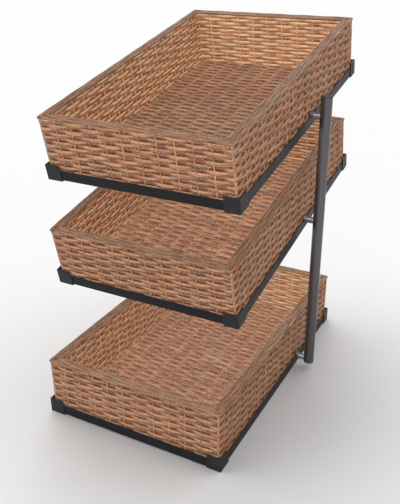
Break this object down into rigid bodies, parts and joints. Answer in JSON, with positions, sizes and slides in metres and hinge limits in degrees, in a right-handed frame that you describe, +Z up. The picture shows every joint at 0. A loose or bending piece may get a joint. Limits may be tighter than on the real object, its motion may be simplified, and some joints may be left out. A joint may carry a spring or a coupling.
{
  "type": "bakery bread rack",
  "caption": "Floor-standing tiered bread rack: woven lift-out baskets in black angle-rail trays on two round posts; the upper trays tip forward on pivot studs to show the bread.",
  "frame": {"origin": "on the floor, under the middle of the whole rack's bounding box", "axes": "+X to the right as the customer sees the rack, +Y from the front to the back, +Z up"},
  "size_m": [0.481, 0.68, 0.7391],
  "materials": {
    "rail": "satin black powder coat",
    "corner": "satin black moulded plastic",
    "screw": "zinc plated",
    "stud": "zinc plated",
    "lock_nut": "bright plated",
    "spacer": "turned steel",
    "wicker": "woven cane, clear lacquer",
    "frame_bar": "dark primer",
    "post": "dark grey metallic",
    "barrel_nut": "turned steel",
    "plug": "moulded plastic"
  },
  "bodies": {
    "stand": {"base_front_rail": "rail", "base_right_rail": "rail", "base_back_rail": "rail", "base_left_rail": "rail", "base_front_left_corner": "corner", "base_front_right_corner": "corner", "base_back_right_corner": "corner", "base_back_left_corner": "corner", "base_corner_screws": "screw", "base_left_stud": "stud", "base_left_lock_nut": "lock_nut", "base_left_spacer": "spacer", "base_right_stud": "stud", "base_right_lock_nut": "lock_nut", "base_right_spacer": "spacer", "middle_left_spacer": "spacer", "middle_right_spacer": "spacer", "top_left_spacer": "spacer", "top_right_spacer": "spacer", "left_post": "post", "left_barrel_nuts": "barrel_nut", "left_foot_plug": "plug", "left_top_plug": "plug", "right_post": "post", "right_barrel_nuts": "barrel_nut", "right_foot_plug": "plug", "right_top_plug": "plug"},
    "middle_tray": {"middle_front_rail": "rail", "middle_right_rail": "rail", "middle_back_rail": "rail", "middle_left_rail": "rail", "middle_front_left_corner": "corner", "middle_front_right_corner": "corner", "middle_back_right_corner": "corner", "middle_back_left_corner": "corner", "middle_corner_screws": "screw", "middle_left_stud": "stud", "middle_left_lock_nut": "lock_nut", "middle_right_stud": "stud", "middle_right_lock_nut": "lock_nut"},
    "top_tray": {"top_front_rail": "rail", "top_right_rail": "rail", "top_back_rail": "rail", "top_left_rail": "rail", "top_front_left_corner": "corner", "top_front_right_corner": "corner", "top_back_right_corner": "corner", "top_back_left_corner": "corner", "top_corner_screws": "screw", "top_left_stud": "stud", "top_left_lock_nut": "lock_nut", "top_right_stud": "stud", "top_right_lock_nut": "lock_nut"},
    "base_basket": {"base_basket": "wicker", "base_basket_frame": "frame_bar"},
    "middle_basket": {"middle_basket": "wicker", "middle_basket_frame": "frame_bar"},
    "top_basket": {"top_basket": "wicker", "top_basket_frame": "frame_bar"}
  },
  "joints": [
    {"name": "middle_tray_tilt", "type": "hinge", "parent": "stand", "child": "middle_tray", "pos_m": [0, 0.05518, 0.365], "axis": [1, 0, 0], "range_deg": [-11.5, 6.5]},
    {"name": "top_tray_tilt", "type": "hinge", "parent": "stand", "child": "top_tray", "pos_m": [0, 0.05518, 0.5845], "axis": [1, 0, 0], "range_deg": [-11.5, 6.5]},
    {"name": "base_basket_lift", "type": "slide", "parent": "stand", "child": "base_basket", "axis": [0, 0, 1], "range_m": [0, 0.06]},
    {"name": "middle_basket_lift", "type": "slide", "parent": "middle_tray", "child": "middle_basket", "axis": [0, -0.1994, 0.9799], "range_m": [0, 0.06]},
    {"name": "top_basket_lift", "type": "slide", "parent": "top_tray", "child": "top_basket", "axis": [0, -0.1994, 0.9799], "range_m": [0, 0.06]}
  ]
}
